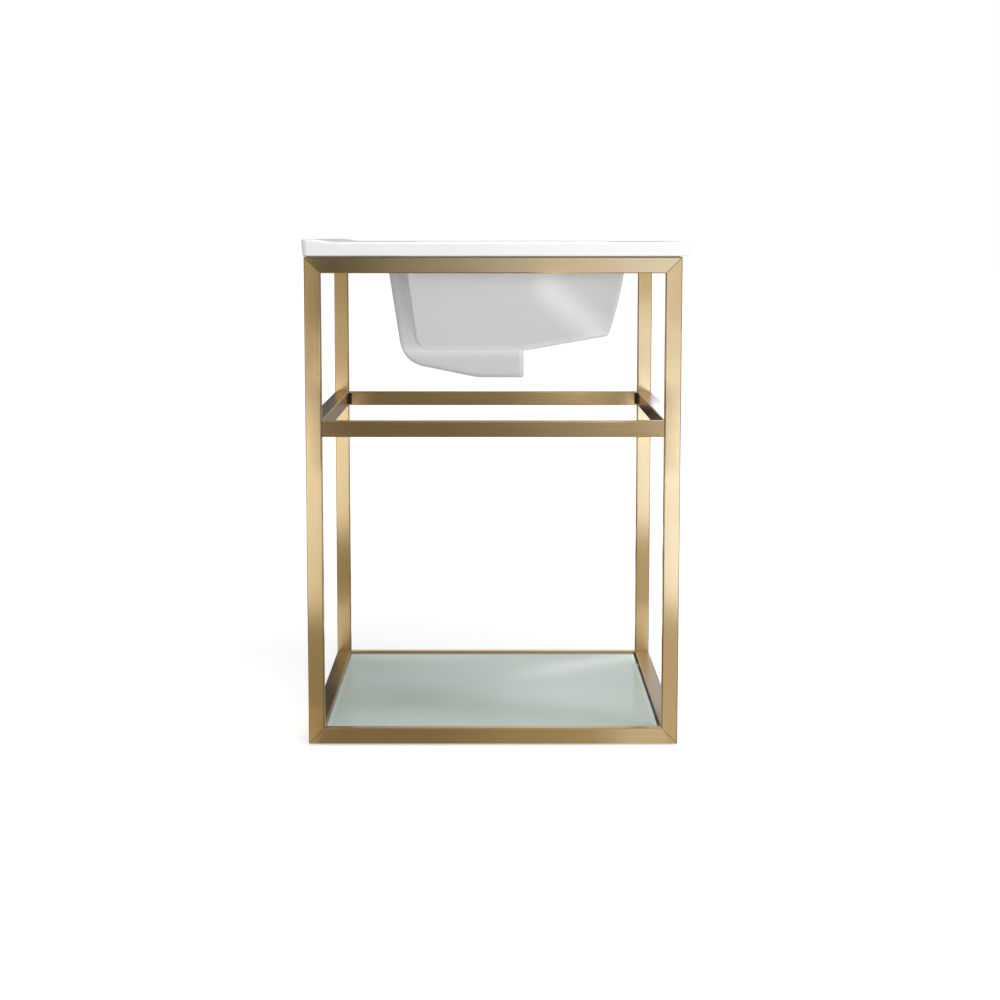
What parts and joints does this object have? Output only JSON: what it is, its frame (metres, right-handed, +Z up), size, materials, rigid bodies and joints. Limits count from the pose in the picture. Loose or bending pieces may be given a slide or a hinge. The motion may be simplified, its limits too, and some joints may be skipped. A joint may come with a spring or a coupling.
{
  "type": "console vanity unit",
  "caption": "Open console washstand: brushed gold tube stand with a white ceramic sink top, an open towel rail frame at mid height and a frosted glass shelf near the floor.",
  "frame": {"origin": "on the floor, under the middle of the sink top", "axes": "+Z up, +X to the right as seen from the front, +Y to the back, towards the wall"},
  "size_m": [0.5991, 0.46, 0.8],
  "materials": {
    "brushed_gold_steel": "stainless steel tube, brushed along its length, satin gold coating",
    "white_glaze": "white gloss glaze",
    "frosted_glass": "toughened glass, acid-etched top, ground edges",
    "silicone": "cured silicone",
    "plain_steel": "zinc plate",
    "black_nylon": "moulded nylon"
  },
  "bodies": {
    "stand": {"front_left_leg": "brushed_gold_steel", "front_right_leg": "brushed_gold_steel", "back_left_leg": "brushed_gold_steel", "back_right_leg": "brushed_gold_steel", "front_top_rail": "brushed_gold_steel", "front_middle_rail": "brushed_gold_steel", "front_bottom_rail": "brushed_gold_steel", "back_top_rail": "brushed_gold_steel", "back_middle_rail": "brushed_gold_steel", "back_bottom_rail": "brushed_gold_steel", "left_top_rail": "brushed_gold_steel", "left_middle_rail": "brushed_gold_steel", "left_bottom_rail": "brushed_gold_steel", "right_top_rail": "brushed_gold_steel", "right_middle_rail": "brushed_gold_steel", "right_bottom_rail": "brushed_gold_steel", "sink_top": "white_glaze", "sink_bed": "silicone", "shelf_tabs": "brushed_gold_steel", "shelf_pads": "silicone", "leveller_nuts": "plain_steel"},
    "shelf": {"shelf_glass": "frosted_glass"},
    "front_left_stud": {"front_left_stud": "plain_steel"},
    "front_left_foot": {"front_left_glide": "black_nylon"},
    "front_right_stud": {"front_right_stud": "plain_steel"},
    "front_right_foot": {"front_right_glide": "black_nylon"},
    "back_left_stud": {"back_left_stud": "plain_steel"},
    "back_left_foot": {"back_left_glide": "black_nylon"},
    "back_right_stud": {"back_right_stud": "plain_steel"},
    "back_right_foot": {"back_right_glide": "black_nylon"}
  },
  "joints": [
    {"name": "shelf_lift", "type": "slide", "parent": "stand", "child": "shelf", "axis": [0, 0, 1], "range_m": [0, 0.45]},
    {"name": "front_left_leveller", "type": "slide", "parent": "stand", "child": "front_left_stud", "axis": [0, 0, -1], "range_m": [0, 0.01]},
    {"name": "front_left_foot_turn", "type": "hinge", "parent": "front_left_stud", "child": "front_left_foot", "pos_m": [-0.2838, -0.1643, 0], "axis": [0, 0, -1], "range_deg": [0, 2881]},
    {"name": "front_right_leveller", "type": "slide", "parent": "stand", "child": "front_right_stud", "axis": [0, 0, -1], "range_m": [0, 0.01]},
    {"name": "front_right_foot_turn", "type": "hinge", "parent": "front_right_stud", "child": "front_right_foot", "pos_m": [0.2748, -0.1643, 0], "axis": [0, 0, -1], "range_deg": [0, 2881]},
    {"name": "back_left_leveller", "type": "slide", "parent": "stand", "child": "back_left_stud", "axis": [0, 0, -1], "range_m": [0, 0.01]},
    {"name": "back_left_foot_turn", "type": "hinge", "parent": "back_left_stud", "child": "back_left_foot", "pos_m": [-0.2838, 0.1643, 0], "axis": [0, 0, -1], "range_deg": [0, 2881]},
    {"name": "back_right_leveller", "type": "slide", "parent": "stand", "child": "back_right_stud", "axis": [0, 0, -1], "range_m": [0, 0.01]},
    {"name": "back_right_foot_turn", "type": "hinge", "parent": "back_right_stud", "child": "back_right_foot", "pos_m": [0.2748, 0.1643, 0], "axis": [0, 0, -1], "range_deg": [0, 2881]}
  ],
  "couplings": [
    {"joint": "front_left_foot_turn", "follows": "front_left_leveller", "rad_per_m": 5026.5},
    {"joint": "front_right_foot_turn", "follows": "front_right_leveller", "rad_per_m": 5026.5},
    {"joint": "back_left_foot_turn", "follows": "back_left_leveller", "rad_per_m": 5026.5},
    {"joint": "back_right_foot_turn", "follows": "back_right_leveller", "rad_per_m": 5026.5}
  ]
}
